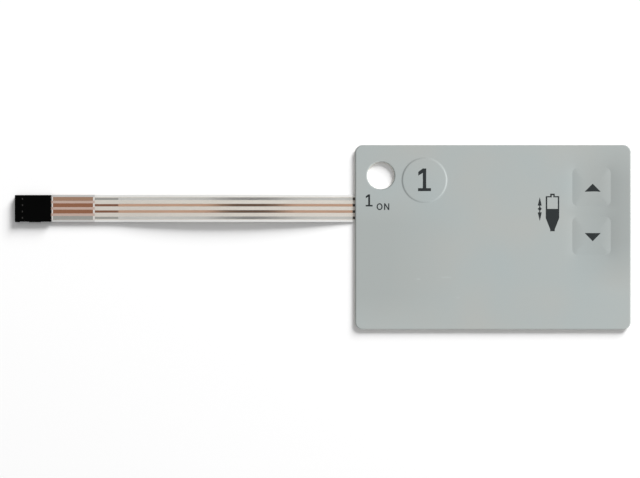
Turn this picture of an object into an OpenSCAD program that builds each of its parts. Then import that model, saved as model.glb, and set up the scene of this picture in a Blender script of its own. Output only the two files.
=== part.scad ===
// Membrane keypad: an embossed overlay on a dome switch laminate, with a flat tail that
// ends in a four-way socket connector. The rear face lies on z = 0, the front looks up.

/* [Panel] */
// Width of the panel
panel_w = 110.7; // [100:0.1:130]
// Height of the panel
panel_h = 74; // [70:1:90]
// Corner radius of the panel
corner_r = 3; // [1:0.5:5]

/* [Layers] */
// Thickness of the release liner
liner_t = 0.15; // [0.05:0.01:0.25]
// Thickness of the rear adhesive
rear_adhesive_t = 0.4; // [0.1:0.05:0.8]
// Thickness of the circuit film and of the tail film
film_t = 0.2; // [0.1:0.01:0.25]
// Thickness of the etched foil
foil_t = 0.05; // [0.03:0.01:0.08]
// Thickness of the dome spacer
spacer_t = 0.55; // [0.4:0.05:0.8]
// Thickness of the overlay's adhesive
overlay_adhesive_t = 0.1; // [0.05:0.01:0.2]
// Thickness of the graphic overlay
overlay_t = 0.25; // [0.15:0.01:0.3]

/* [Port] */
// Diameter of the port hole
port_d = 11; // [8:0.1:13]
// Distance of the port's axis from the left edge
port_from_left = 10.3; // [8:0.1:11]
// Distance of the port's axis from the top edge
port_from_top = 12.2; // [9:0.1:13]

/* [Round key] */
// Diameter of the round key at its foot
round_key_d = 18.4; // [16:0.1:20]
// Distance of the round key's axis from the left edge
round_from_left = 27.8; // [26:0.1:32]
// Distance of the round key's axis from the top edge
round_from_top = 14.1; // [12:0.1:15]
// Width of the round key's sloped wall
round_wall = 0.6; // [0.3:0.05:1]

/* [Square keys] */
// Width of a square key at its foot
square_key_w = 15.4; // [14:0.1:18]
// Corner radius of a square key at its foot
square_key_r = 2.2; // [2:0.1:4]
// Distance of the square keys' axes from the right edge
square_from_right = 15.8; // [14:0.1:20]
// Distance of the upper square key's axis from the top edge
up_from_top = 16.8; // [12:0.1:18]
// Distance between the two square keys' axes
square_pitch = 19.6; // [19:0.1:24]
// Radius of a square key's rounded wall
square_wall_r = 2.4; // [1:0.1:2.8]

/* [Embossing] */
// Height of the round key's wall above the panel
round_rise = 0.27; // [0.2:0.01:0.5]
// Extra height in the middle of the round key
round_crown = 0.1; // [0.05:0.01:0.2]
// Height of a square key's wall above the panel, midway along a side
square_rise = 0.15; // [0.1:0.01:0.4]
// Extra height in the middle of a square key
square_crown = 0.15; // [0.05:0.01:0.2]
// How much narrower a key is on its underside, on each side
emboss_draw = 0.1; // [0.05:0.01:0.2]

/* [Snap domes] */
// Diameter of a snap dome over its feet
dome_d = 12; // [10:0.1:13]
// Height of a snap dome
dome_h = 0.75; // [0.5:0.05:0.9]
// Thickness of a snap dome
dome_t = 0.08; // [0.05:0.01:0.12]
// Width of a snap dome across its four notches
dome_waist = 8.8; // [7:0.1:9.5]
// Radius of the notches between a snap dome's feet
dome_notch_r = 5; // [4:0.1:7]
// Gap between a snap dome and the wall of its pocket
pocket_clear = 0.5; // [0.4:0.05:0.8]
// Width of the vents that join the pockets
vent_w = 1; // [0.5:0.1:2]

/* [Circuit] */
// Distance between neighbouring conductors, and between the connector's ways
pitch = 2.54; // [2.5:0.01:2.6]
// Width of a conductor
trace_w = 0.9; // [0.5:0.05:1]
// Width of the ring under a dome's feet
ring_w = 1.4; // [1:0.1:1.8]
// How far the ring reaches past the dome's feet
ring_margin = 0.2; // [0.1:0.05:0.35]
// Diameter of the touch pad under a dome's middle
touch_pad_d = 3.2; // [2:0.1:4]
// Gap between foil edges where a conductor passes through a ring
foil_gap = 0.6; // [0.4:0.05:1]
// Gap between a conductor and the layer that is relieved over it
relief = 0.1; // [0.05:0.01:0.15]
// Distance from the round key's ring to the first conductor below it
bus_clear = 2; // [1.5:0.1:3]

/* [Tail] */
// Width of the tail
tail_w = 10.9; // [10.2:0.1:12]
// Distance of the tail's middle line from the top edge
tail_from_top = 25.4; // [24:0.1:27]
// Thickness of the tail's coverlay above the foil
coverlay_t = 0.1; // [0.05:0.01:0.15]
// Length of bare foil between the panel and the coverlay
bare_at_panel = 1; // [1:0.1:4]
// Length of bare foil between the coverlay and the wide pads
bare_at_pads = 9.5; // [5:0.1:12]
// Width of the wide pads at the connector
pad_w = 1.5; // [1.2:0.05:1.8]
// Length of the wide pads outside the connector
pad_l = 17.4; // [12:0.1:20]
// Thickness of the stiffener behind the wide pads
stiffener_t = 0.2; // [0.1:0.01:0.3]

/* [Connector] */
// Length of the connector's housing
housing_l = 14.4; // [14:0.1:18]
// Height of the connector's housing
housing_h = 2.6; // [2.4:0.05:3]
// Housing width beyond the four ways, on each side
housing_side = 0.25; // [0.2:0.05:0.6]
// Chamfer along the housing's long edges
housing_chamfer = 0.3; // [0.1:0.05:0.4]
// Thickness of the wall at the mating face
front_wall = 0.8; // [0.6:0.05:1.2]
// Width of the square openings for the pins
pin_open = 1; // [0.8:0.05:1.2]
// Depth of the lead-in round each pin opening
lead_in = 0.35; // [0.2:0.05:0.5]
// Distance of the latch windows from the mating face
window_from_face = 2.9; // [2.5:0.1:4]
// Width of the latch windows
window_w = 0.9; // [0.7:0.05:1.1]
// How far the side ribs stand out
rib_proud = 0.2; // [0.1:0.05:0.3]
// Length of the side rib at the mating face
front_rib_l = 1.6; // [1:0.1:3]
// Distance of the longer side rib from the mating face
side_rib_from = 5.6; // [4:0.1:8]
// Length of the longer side rib
side_rib_l = 4.4; // [2:0.1:6]

/* [Contacts] */
// Thickness of the contacts' metal
contact_t = 0.2; // [0.15:0.01:0.25]
// Width of a contact's box
box_w = 1.7; // [1.5:0.05:1.9]
// Height of a contact's box
box_h = 1.5; // [1.3:0.05:1.7]
// Length of a contact's box
box_l = 6; // [5:0.1:7]
// Gap between a contact's box and its cavity
contact_clear = 0.1; // [0.05:0.01:0.15]
// Length of the slope between a contact's box and its jaws
jaw_slope = 1.3; // [1:0.1:2]
// Length of a contact's jaws on the film
jaw_l = 4; // [2.5:0.1:4.5]
// Width of a contact's jaws
jaw_w = 1.3; // [1:0.05:1.5]
// Height of a contact's latch above its box
latch_h = 0.35; // [0.2:0.05:0.4]
// Width of a contact's latch
latch_w = 0.6; // [0.4:0.05:0.65]

/* [Hidden] */

$fn = 96;
ways = 4;
over = 0.1;
arc_fn = 720;

// The tail's route: distance from the panel's edge, and rise above the line from the
// film's exit to the level at which it runs into the connector.
tail_route = [
    [0, 0], [2, 0], [4, 0.08], [6, 0.22], [10, 0.5], [15, 0.82], [20, 1.08], [25, 1.3],
    [30, 1.48], [35, 1.62], [40, 1.71], [45, 1.77], [50, 1.78], [55, 1.75], [60, 1.68],
    [65, 1.56], [70, 1.4], [75, 1.2], [80, 0.96], [85, 0.67], [90, 0.34], [93, 0.13],
    [95, 0.03], [97, 0], [122, 0]
];

// Levels of the layers
rear_adhesive_z = liner_t;
film_z = rear_adhesive_z + rear_adhesive_t;
foil_z = film_z + film_t;
dome_z = foil_z + foil_t;
overlay_adhesive_z = foil_z + spacer_t;
overlay_z = overlay_adhesive_z + overlay_adhesive_t;
face_z = overlay_z + overlay_t;

// Places on the panel
left = -panel_w / 2;
top = panel_h / 2;
port_at = [left + port_from_left, top - port_from_top];
round_at = [left + round_from_left, top - round_from_top];
up_at = [panel_w / 2 - square_from_right, top - up_from_top];
down_at = up_at - [0, square_pitch];
tail_y = top - tail_from_top;
domes_at = [round_at, up_at, down_at];

// Circuit
ring_r = dome_d / 2 + ring_margin;
ring_mid = ring_r - ring_w / 2;
pocket_r = dome_d / 2 + pocket_clear;
line_y = [for (i = [0:ways - 1]) tail_y + ((ways - 1) / 2 - i) * pitch];
bus_y = [for (i = [0:ways - 1]) round_at[1] - ring_r - bus_clear - i * pitch];
bend_run = 8;
bend_from = left + 4;
column_gap = 4;
between_y = (up_at[1] + down_at[1]) / 2;
below_y = down_at[1] - ring_r - bus_clear;
up_column = up_at[0] - ring_r - column_gap;
down_column = up_column - pitch;

// Conductors inside the panel, from the tail's edge to the switches
round_line = concat(lead(0), [[round_at[0], bus_y[0]], round_at]);
common_line = concat(
    lead(1),
    [[round_at[0] + ring_mid, bus_y[1]], [round_at[0] + ring_mid, round_at[1] + trace_w / 2]]
);
common_link = [
    [round_at[0] + ring_mid, round_at[1]],
    [up_column - bend_run, round_at[1]],
    [up_column, up_at[1]],
    [up_at[0] - ring_mid, up_at[1]]
];
common_drop = [up_at + [ring_mid, 0], down_at + [ring_mid, 0]];
up_line = concat(
    lead(2),
    [[up_column - bend_run, bus_y[2]], [up_column, between_y], [up_at[0], between_y], up_at]
);
down_line = concat(
    lead(3),
    [[down_column - 2 * bend_run, bus_y[3]], [down_column, below_y], [down_at[0], below_y], down_at]
);

// Tail and connector
tail_l = tail_route[len(tail_route) - 1][0];
flat_from = tail_l - pad_l - bare_at_pads;
pads_from = tail_l - pad_l;
housing_w = ways * pitch + 2 * housing_side;
entry_z = (housing_h - film_t) / 2;
rear_x = left - tail_l;
face_x = rear_x - housing_l;
box_x = face_x + front_wall;
box_z = (housing_h - box_h) / 2;
jaw_x = box_x + box_l + jaw_slope;
tongue_end = rear_x - jaw_x;
tongue_w = (ways - 1) * pitch + box_w;
cavity_w = box_w + 2 * contact_clear;
window_x = face_x + window_from_face;

// Parallel start of a conductor: out of the tail, then over to its place in the panel
function lead(i) = [
    [left, line_y[i]],
    [bend_from, line_y[i]],
    [bend_from + bend_run, bus_y[i]]
];

function unit(v) = v / norm(v);
function across(v) = [-v[1], v[0]];
function side(p, i) = across(unit(p[i + 1] - p[i]));

// Point beside vertex i of a path, at distance d to its left, with mitred corners
function beside(p, i, d) =
    i == 0 ? p[0] + d * side(p, 0)
    : i == len(p) - 1 ? p[i] + d * side(p, i - 1)
    : p[i] + (side(p, i - 1) + side(p, i)) * d / (1 + side(p, i - 1) * side(p, i));

// Level of the tail film's underside at a distance from the panel
function tail_z(s) =
    film_z + (entry_z - film_z) * min(s / flat_from, 1) + lookup(s, tail_route);

// A strip of even width along a path
module strip(path, w) {
    last = len(path) - 1;
    polygon(concat(
        [for (i = [0:last]) beside(path, i, w / 2)],
        [for (i = [last:-1:0]) beside(path, i, -w / 2)]
    ));
}

module rounded_square(size, r) {
    square([size[0] - 2 * r, size[1]], center = true);
    square([size[0], size[1] - 2 * r], center = true);
    for (x = [-1, 1])
        for (y = [-1, 1])
            translate([x * (size[0] / 2 - r), y * (size[1] / 2 - r)])
                circle(r);
}

// The die-cut outline that all the layers share
module sheet_outline() {
    difference() {
        rounded_square([panel_w, panel_h], corner_r);
        translate(port_at)
            circle(d = port_d);
    }
}

module sheet(z, t) {
    translate([0, 0, z])
        linear_extrude(t)
            sheet_outline();
}

// Half section of all that lies under a shallow arc, which is top high in the middle and
// falls by the crown at the rim
module crown_section(top, crown, rim, reach, drop) {
    crown_r = (rim * rim + crown * crown) / (2 * crown);
    intersection() {
        translate([0, top - crown_r])
            circle(crown_r, $fn = arc_fn);
        translate([0, -drop])
            square([reach, drop + top + over]);
    }
}

// Round plateau with a straight sloped wall; drop carries it down into its sheet
module round_emboss(r, drop) {
    key_top = round_rise + round_crown;
    slope_top = key_top + over;
    rotate_extrude()
        intersection() {
            polygon([
                [0, -drop],
                [r, -drop],
                [r, 0],
                [r - round_wall * slope_top / round_rise, slope_top],
                [0, slope_top]
            ]);
            crown_section(key_top, round_crown, r - round_wall, r + over, drop + over);
        }
}

// Half section of a square key's wall, which rises from its foot to its top in one arc
module wall_section(r, top, drop) {
    sunk = square_wall_r - top;
    run = sqrt(square_wall_r * square_wall_r - sunk * sunk);
    translate([0, -drop])
        square([r, drop]);
    square([r - run, top]);
    intersection() {
        translate([r - run, -sunk])
            circle(square_wall_r);
        translate([r - run, 0])
            square([run, top]);
    }
}

// Square pillow: the wall's section drawn along the sides and turned round the corners
module square_emboss(w, r, drop) {
    inner = w - 2 * r;
    key_top = square_rise + square_crown;
    wall_top = key_top + over;
    intersection() {
        union() {
            translate([-inner / 2, -inner / 2, -drop])
                cube([inner, inner, drop + wall_top]);
            for (a = [0:90:270])
                rotate(a)
                    translate([inner / 2, inner / 2, 0]) {
                        rotate([90, 0, 0])
                            linear_extrude(inner)
                                wall_section(r, wall_top, drop);
                        rotate_extrude(angle = 90)
                            wall_section(r, wall_top, drop);
                    }
        }
        rotate_extrude()
            crown_section(key_top, square_crown, w / 2, w, drop + over);
    }
}

// Film with raised keys that are hollow underneath
module graphic_overlay() {
    color([0.69, 0.72, 0.71])
        difference() {
            union() {
                sheet(overlay_z, overlay_t);
                translate([each round_at, face_z])
                    round_emboss(round_key_d / 2, over);
                for (p = [up_at, down_at])
                    translate([each p, face_z])
                        square_emboss(square_key_w, square_key_r, over);
            }
            translate([each round_at, overlay_z])
                round_emboss(round_key_d / 2 - emboss_draw, over);
            for (p = [up_at, down_at])
                translate([each p, overlay_z])
                    square_emboss(square_key_w - 2 * emboss_draw, square_key_r - emboss_draw, over);
        }
}

// Adhesive sheet with a window under each key
module overlay_adhesive() {
    color([0.9, 0.89, 0.84])
        translate([0, 0, overlay_adhesive_z])
            linear_extrude(overlay_adhesive_t)
                difference() {
                    sheet_outline();
                    translate(round_at)
                        circle(d = round_key_d);
                    for (p = [up_at, down_at])
                        translate(p)
                            rounded_square([square_key_w, square_key_w], square_key_r);
                }
}

module spacer_outline() {
    difference() {
        sheet_outline();
        for (p = domes_at)
            translate(p)
                circle(pocket_r);
        strip([round_at, up_at], vent_w);
        strip([up_at, down_at], vent_w);
    }
}

// Spacer with a pocket for each dome, vents between them and reliefs over the foil
module dome_spacer() {
    lines = [round_line, common_line, common_link, common_drop, up_line, down_line];
    color([0.93, 0.93, 0.9])
        difference() {
            translate([0, 0, foil_z])
                linear_extrude(spacer_t)
                    spacer_outline();
            for (line = lines)
                translate([0, 0, foil_z - over])
                    linear_extrude(foil_t + over)
                        strip(line, trace_w + 2 * relief);
        }
}

// Four-footed snap dome, standing with its feet on the ring of its switch
module snap_dome() {
    dome_r = (dome_d * dome_d / 4 + dome_h * dome_h) / (2 * dome_h);
    notch_at = dome_waist / 2 + dome_notch_r;
    difference() {
        rotate_extrude()
            intersection() {
                translate([0, dome_h - dome_r])
                    difference() {
                        circle(dome_r, $fn = arc_fn);
                        circle(dome_r - dome_t, $fn = arc_fn);
                    }
                square([dome_d, dome_d]);
            }
        for (a = [0:90:270])
            rotate(a)
                translate([notch_at, 0, -over])
                    cylinder(r = dome_notch_r, h = dome_h + 2 * over);
    }
}

module dome_at(p) {
    color([0.75, 0.76, 0.78])
        translate([each p, dome_z])
            snap_dome();
}

module dome_round() {
    dome_at(round_at);
}

module dome_up() {
    dome_at(up_at);
}

module dome_down() {
    dome_at(down_at);
}

module circuit_film() {
    color([0.86, 0.85, 0.8])
        sheet(film_z, film_t);
}

// Ring under a dome's feet, open below for the line to the touch pad
module ring_contact(p) {
    translate(p)
        difference() {
            circle(ring_r);
            circle(ring_r - ring_w);
            translate([-trace_w / 2 - foil_gap, -2 * ring_r])
                square([trace_w + 2 * foil_gap, 2 * ring_r]);
        }
}

module touch_pad(p) {
    translate(p)
        circle(d = touch_pad_d);
}

// Length of something flat that follows the tail, from s0 to s1 along it and y0 to y1
// across it, between two heights above the film's underside
module tail_strip(s0, s1, y0, y1, low, high) {
    stops = concat([s0], [for (p = tail_route) if (p[0] > s0 && p[0] < s1) p[0]], [s1]);
    last = len(stops) - 1;
    translate([left, y1, 0])
        rotate([90, 0, 0])
            linear_extrude(y1 - y0)
                polygon(concat(
                    [for (i = [0:last]) [-stops[i], tail_z(stops[i]) + low]],
                    [for (i = [last:-1:0]) [-stops[i], tail_z(stops[i]) + high]]
                ));
}

// Foil of one way: the line along the tail, its wide pad, and its share of the panel
module conductor(i, tint) {
    foil_end = tail_l + tongue_end;
    half = trace_w / 2;
    color(tint) {
        tail_strip(0, pads_from, line_y[i] - half, line_y[i] + half, film_t, film_t + foil_t);
        tail_strip(
            pads_from, foil_end, line_y[i] - pad_w / 2, line_y[i] + pad_w / 2,
            film_t, film_t + foil_t
        );
        translate([0, 0, foil_z])
            linear_extrude(foil_t)
                children();
    }
}

tin = [0.66, 0.66, 0.64];
copper = [0.6, 0.4, 0.3];

module conductor_round() {
    conductor(0, tin) {
        strip(round_line, trace_w);
        touch_pad(round_at);
    }
}

module conductor_common() {
    conductor(1, copper) {
        strip(common_line, trace_w);
        strip(common_link, trace_w);
        strip(common_drop, trace_w);
        for (p = domes_at)
            ring_contact(p);
    }
}

module conductor_up() {
    conductor(2, copper) {
        strip(up_line, trace_w);
        touch_pad(up_at);
    }
}

module conductor_down() {
    conductor(3, tin) {
        strip(down_line, trace_w);
        touch_pad(down_at);
    }
}

// Free stretch of the circuit film, with a narrower tongue inside the connector
module tail_film() {
    color([0.84, 0.83, 0.79]) {
        tail_strip(0, tail_l, tail_y - tail_w / 2, tail_y + tail_w / 2, 0, film_t);
        tail_strip(tail_l, tail_l + tongue_end, tail_y - tongue_w / 2, tail_y + tongue_w / 2, 0, film_t);
    }
}

// Cover film whose adhesive fills the spaces between the conductors
module tail_coverlay() {
    foil_top = film_t + foil_t;
    edges = concat(
        [tail_y + tail_w / 2],
        [for (y = line_y) each [y + trace_w / 2 + relief, y - trace_w / 2 - relief]],
        [tail_y - tail_w / 2]
    );
    color([0.88, 0.88, 0.86]) {
        tail_strip(
            bare_at_panel, flat_from, tail_y - tail_w / 2, tail_y + tail_w / 2,
            foil_top, foil_top + coverlay_t
        );
        for (i = [0:ways])
            tail_strip(bare_at_panel, flat_from, edges[2 * i + 1], edges[2 * i], film_t, foil_top);
    }
}

module tail_stiffener() {
    color([0.8, 0.76, 0.7])
        tail_strip(pads_from, tail_l, tail_y - tail_w / 2, tail_y + tail_w / 2, -stiffener_t, 0);
}

// Chamfered section of the housing, drawn across the tail
module housing_section() {
    c = housing_chamfer;
    half = housing_w / 2;
    polygon([
        [-half, c], [-half + c, 0], [half - c, 0], [half, c],
        [half, housing_h - c], [half - c, housing_h], [-half + c, housing_h], [-half, housing_h - c]
    ]);
}

// Rib on the housing's lower side, at a distance from the mating face
module side_rib(from, l) {
    translate([face_x + from, tail_y - housing_w / 2 - rib_proud, housing_chamfer])
        cube([l, 2 * rib_proud, housing_h - 2 * housing_chamfer]);
}

// One-piece socket housing with four cavities, latch windows and a slot for the film
module connector_housing() {
    film_top = entry_z + film_t + foil_t;
    color([0.05, 0.05, 0.05])
        difference() {
            union() {
                translate([face_x, tail_y, 0])
                    rotate([90, 0, 90])
                        linear_extrude(housing_l)
                            housing_section();
                side_rib(0, front_rib_l);
                side_rib(side_rib_from, side_rib_l);
            }
            for (y = line_y) {
                translate([box_x, y - cavity_w / 2, box_z])
                    cube([housing_l, cavity_w, box_h + contact_clear]);
                translate([face_x - over, y - pin_open / 2, (housing_h - pin_open) / 2])
                    cube([front_wall + 2 * over, pin_open, pin_open]);
                translate([face_x, y, housing_h / 2])
                    lead_in_cut();
                translate([window_x - window_w / 2, y - window_w / 2, housing_h / 2])
                    cube([window_w, window_w, housing_h]);
            }
            translate([jaw_x - contact_clear, tail_y - tongue_w / 2 - contact_clear, entry_z - contact_clear])
                cube([housing_l, tongue_w + 2 * contact_clear, film_top - entry_z + 2 * contact_clear]);
        }
}

// Square funnel that guides a pin into its opening
module lead_in_cut() {
    inner = pin_open / sqrt(2);
    outer = inner + lead_in * sqrt(2);
    rotate([0, 90, 0])
        rotate(45)
            cylinder(r1 = outer, r2 = inner, h = lead_in, $fn = 4);
}

// Side view of a contact, drawn out to a width about its middle line
module contact_slice(w) {
    translate([0, w / 2, 0])
        rotate([90, 0, 0])
            linear_extrude(w)
                children();
}

// Socket contact: a folded box with a spring and a latch, and two jaws on film and foil
module contact(i) {
    box_end = box_x + box_l;
    roof = box_z + box_h;
    foil_top = entry_z + film_t + foil_t;
    spring_dip = box_h / 2 - contact_t - pin_open / 3;
    jaw_end = jaw_x + jaw_l;
    color([0.78, 0.77, 0.72])
        translate([0, line_y[i], 0]) {
            difference() {
                translate([box_x, -box_w / 2, box_z])
                    cube([box_l, box_w, box_h]);
                translate([box_x - over, -box_w / 2 + contact_t, box_z + contact_t])
                    cube([box_l + 2 * over, box_w - 2 * contact_t, box_h - 2 * contact_t]);
            }
            contact_slice(jaw_w)
                polygon([
                    [box_end - contact_t, box_z],
                    [box_end, box_z],
                    [jaw_x, entry_z - contact_t],
                    [jaw_end, entry_z - contact_t],
                    [jaw_end, entry_z],
                    [jaw_x, entry_z],
                    [box_end, box_z + contact_t],
                    [box_end - contact_t, box_z + contact_t]
                ]);
            contact_slice(jaw_w)
                polygon([
                    [box_end - contact_t, roof],
                    [box_end, roof],
                    [jaw_x, foil_top + contact_t],
                    [jaw_end, foil_top + contact_t],
                    [jaw_end, foil_top],
                    [jaw_x, foil_top],
                    [box_end, roof - contact_t],
                    [box_end - contact_t, roof - contact_t]
                ]);
            contact_slice(latch_w)
                polygon([
                    [box_x + box_l / 3, roof - contact_t / 2],
                    [box_x + box_l / 2, roof - contact_t - spring_dip],
                    [box_x + 2 * box_l / 3, roof - contact_t - spring_dip],
                    [box_x + box_l / 2, roof - spring_dip],
                    [box_x + box_l / 3 + contact_t, roof - contact_t / 2]
                ]);
            contact_slice(latch_w)
                polygon([
                    [window_x - window_w / 2, roof - contact_t / 2],
                    [window_x + window_w / 2 - contact_clear, roof - contact_t / 2],
                    [window_x + window_w / 2 - contact_clear, roof + latch_h],
                    [window_x - window_w / 2, roof]
                ]);
        }
}

module contact_1() {
    contact(0);
}

module contact_2() {
    contact(1);
}

module contact_3() {
    contact(2);
}

module contact_4() {
    contact(3);
}

module rear_adhesive() {
    color([0.85, 0.85, 0.83])
        sheet(rear_adhesive_z, rear_adhesive_t);
}

module release_liner() {
    color([0.92, 0.88, 0.76])
        sheet(0, liner_t);
}

graphic_overlay();
overlay_adhesive();
dome_spacer();
dome_round();
dome_up();
dome_down();
circuit_film();
conductor_round();
conductor_common();
conductor_up();
conductor_down();
tail_film();
tail_coverlay();
tail_stiffener();
connector_housing();
contact_1();
contact_2();
contact_3();
contact_4();
rear_adhesive();
release_liner();
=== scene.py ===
"""Membrane keypad: the printed overlay with its embossed keys, the signs on it, the flat
tail with its foil, the connector, and a small studio round them. Shapes are drawn in
millimetres and made in metres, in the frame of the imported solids."""

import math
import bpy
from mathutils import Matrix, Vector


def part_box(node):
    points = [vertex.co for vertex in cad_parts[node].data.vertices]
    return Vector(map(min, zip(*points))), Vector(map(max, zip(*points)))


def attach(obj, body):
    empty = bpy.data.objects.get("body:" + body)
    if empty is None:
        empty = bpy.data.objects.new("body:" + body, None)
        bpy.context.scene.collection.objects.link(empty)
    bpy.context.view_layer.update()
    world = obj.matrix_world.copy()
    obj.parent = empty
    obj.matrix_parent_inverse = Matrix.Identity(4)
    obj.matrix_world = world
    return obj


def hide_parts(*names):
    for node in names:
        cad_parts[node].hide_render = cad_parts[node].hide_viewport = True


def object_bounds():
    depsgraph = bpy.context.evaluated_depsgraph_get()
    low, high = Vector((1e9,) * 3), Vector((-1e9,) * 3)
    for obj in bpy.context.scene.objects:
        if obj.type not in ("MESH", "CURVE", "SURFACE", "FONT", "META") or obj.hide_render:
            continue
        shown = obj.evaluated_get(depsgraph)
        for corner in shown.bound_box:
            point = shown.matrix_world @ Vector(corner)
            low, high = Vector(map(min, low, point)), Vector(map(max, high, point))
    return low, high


bl_info = {
    "name": "Membrane keypad",
    "version": (1, 0, 0),
    "blender": (4, 5, 0),
    "location": "3D View > Sidebar > Keypad",
    "description": "Dresses the solids of a membrane keypad with film, ink, foil and plastic",
    "category": "Object",
}

from types import SimpleNamespace

import bmesh
import bpy
import numpy as np
from bpy.props import FloatProperty, FloatVectorProperty, PointerProperty
from mathutils import Vector
from mathutils.geometry import delaunay_2d_cdt

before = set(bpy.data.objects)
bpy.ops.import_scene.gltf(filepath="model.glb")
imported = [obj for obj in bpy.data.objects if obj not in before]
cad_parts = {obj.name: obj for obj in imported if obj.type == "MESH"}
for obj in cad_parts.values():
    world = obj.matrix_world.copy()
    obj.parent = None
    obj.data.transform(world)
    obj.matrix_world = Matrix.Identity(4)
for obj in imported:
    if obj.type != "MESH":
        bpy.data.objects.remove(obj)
CAD_BOX = [list(corner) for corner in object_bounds()]

MM = 0.001

# Lengths in the values below are in millimetres, and those of the studio in metres

# The tail's route, as distance from the panel's edge and rise above a straight line
ROUTE = [
    (0, 0), (2, 0), (4, 0.08), (6, 0.22), (10, 0.5), (15, 0.82), (20, 1.08), (25, 1.3),
    (30, 1.48), (35, 1.62), (40, 1.71), (45, 1.77), (50, 1.78), (55, 1.75), (60, 1.68),
    (65, 1.56), (70, 1.4), (75, 1.2), (80, 0.96), (85, 0.67), (90, 0.34), (93, 0.13),
    (95, 0.03), (97, 0), (128.3, 0),
]
# A distance along the route that is past its end
ROUTE_END = 1000
# Distance between the sections of a sweep, and between those of the folded pads
STEP, FINE_STEP = 0.5, 0.06
WAYS = ("round", "common", "up", "down")
TINNED_WAYS = ("round", "down")
CONTACTS = ("contact_1", "contact_2", "contact_3", "contact_4")
DOMES = ("dome_round", "dome_up", "dome_down")

# Painted shade on the film, right of the square keys and low on the left: middle, full reach and
# soft edge along each axis
SHADE_BY_KEYS_X, SHADE_BY_KEYS_Y = (50, 0.5, 20), (10.4, 12, 20)
SHADE_LOW_LEFT_X, SHADE_LOW_LEFT_Y = (-50, 8, 30), (-9, 14, 12)
# Faint scuffs on the film: middle and length, and the width of all
SCUFFS = [((-18.9, -16.1), 3.6), ((-14.1, -24.2), 1.6), ((-30, -16.8), 1.5)]
SCUFF_WIDTH = 0.5
# Painted glint on a contact's latch: full reach and soft edge, along the contact and across it
SPOT_X, SPOT_Y = (0.08, 0.2), (0.12, 0.25)
# Soft border where one finish goes over into the next
BORDER = 0.1
# Half the length of the painted highlight at each end of a pad
FOLD_REACH = 0.3
# Gap between the fold at the connector and the housing
FOLD_GAP = 0.05
# Width of tinted film beside the outer conductors, before the margin's painted light
MARGIN_GAP = 0.25
# Share of its painted brightness that the margin keeps over the stiffener
BACKED_MARGIN = 0.76
TIN_ROUGHNESS, COPPER_ROUGHNESS = 0.15, 0.08
# Values between which most of a noise texture lies
NOISE_LOW, NOISE_HIGH = 0.3, 0.7
# Size of the blotches in a plain material's colour, in grains
BLOTCH = 12
# Slow changes of the printed film's tone, as shares of its red, green and blue
WARM, COOL = (1.03, 1, 0.985), (0.97, 1, 1.015)

# How steeply the cut edge rolls down, and how steeply a dip round a square key ends
EDGE_POWER, DIP_POWER = 1.2, 3.5
# Rings of points on the overlay, as shares of the edge's width, of the round key's top, of the
# dip's reach and of a square key's inner field, and as distances inside a square key's foot
EDGE_RINGS = (0, 0.12, 0.26, 0.42, 0.6, 0.8, 1, 1.3)
ROUND_TOP_RINGS = (0.85, 0.65, 0.45, 0.25, 0.1)
DIP_RINGS = (1.04, 1, 0.84, 0.68, 0.52, 0.37, 0.24, 0.14, 0.07, 0.03, 0)
FIELD_RINGS = (0.88, 0.76, 0.64, 0.52, 0.4, 0.28, 0.14)
WALL_RINGS = (0.08, 0.2, 0.4, 0.7, 1, 1.35, 1.7, 2.1, 2.6, 3.1, 3.7, 4.3, 4.9)
# Least corner radius of the rings round a square key, and the radius in its inner field
LEAST_CORNER, FIELD_CORNER = 0.1, 0.3
# Rings at the round key's wall: how many lie on it, and the gaps to the next outside and inside
WALL_STEPS, OUTER_GAP, INNER_GAP = 10, 0.2, 0.25
# Points on a ring of the port, and on a large and a small ring of the round key
PORT_POINTS, LARGE_POINTS, SMALL_POINTS = 120, 144, 48
# Radius up to which a ring of the round key is a small one
SMALL_RING = 4
# Share of the port's radius inside which a triangle lies in the hole
HOLE_SHARE = 0.999

# Height from which the ink is laid on the film, and how far it can fall
FALL_FROM, FALL = 10, 30
# Distances in metres below which points of a joined mesh, of a solid's copy and of the ink
# become one, and the distance in millimetres for those of a flat drawing
JOIN_GAP, SOLID_GAP, INK_GAP, FLAT_GAP = 1e-8, 1e-7, 1e-6, 1e-5
# Angles in degrees: the housing's faces that count as one, and its edges that are rounded
FLAT_ANGLE, MOULD_ANGLE = 1, 30

# Lamps: direction round the object and height in degrees, and size as a share of the distance
KEY_LAMP, FLOOR_LAMP = (4, 33, 0.35), (56, 26, 0.46)
LAMP_DISTANCE = 4.0
FLOOR_HALF = 4.0
# Width of the camera's sensor in millimetres, and the nearest and farthest that it sees
SENSOR_WIDTH, NEAREST, FARTHEST = 36, 0.01, 20
# Heights on the sky's dome where the walls end and where the ceiling is at its full level
WALL_TOP, CEILING_FROM = 0.6, 0.93
# The dark place overhead, in degrees: its tilt, and where it is darkest and where it ends
DARK_TILT, DARK_CORE, DARK_END = 0.8, 1.5, 5.6


def node_box(name):
    """Lowest and highest corner of a solid, in millimetres."""
    low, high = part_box(name)
    return [c / MM for c in low], [c / MM for c in high]


def studio_middle():
    """Middle of the object on the floor, in metres."""
    low, high = CAD_BOX
    return (low[0] + high[0]) / 2, (low[1] + high[1]) / 2


def length(name, description, default):
    """A length property, given in millimetres and kept in metres."""
    return FloatProperty(
        name=name, description=description, default=default * MM, unit="LENGTH", precision=5
    )


def place(name, description, default):
    """A place on the panel's face, given in millimetres and kept in metres."""
    return FloatVectorProperty(
        name=name, description=description, default=[c * MM for c in default],
        size=2, subtype="XYZ", unit="LENGTH", precision=5,
    )


def colour(name, description, default):
    """A colour property, in linear light."""
    return FloatVectorProperty(
        name=name, description=description, default=default, size=3, subtype="COLOR", min=0, max=1
    )


def share(name, description, default, top=1.0):
    """A plain number from nothing to a top value."""
    return FloatProperty(name=name, description=description, default=default, min=0, max=top)


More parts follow.
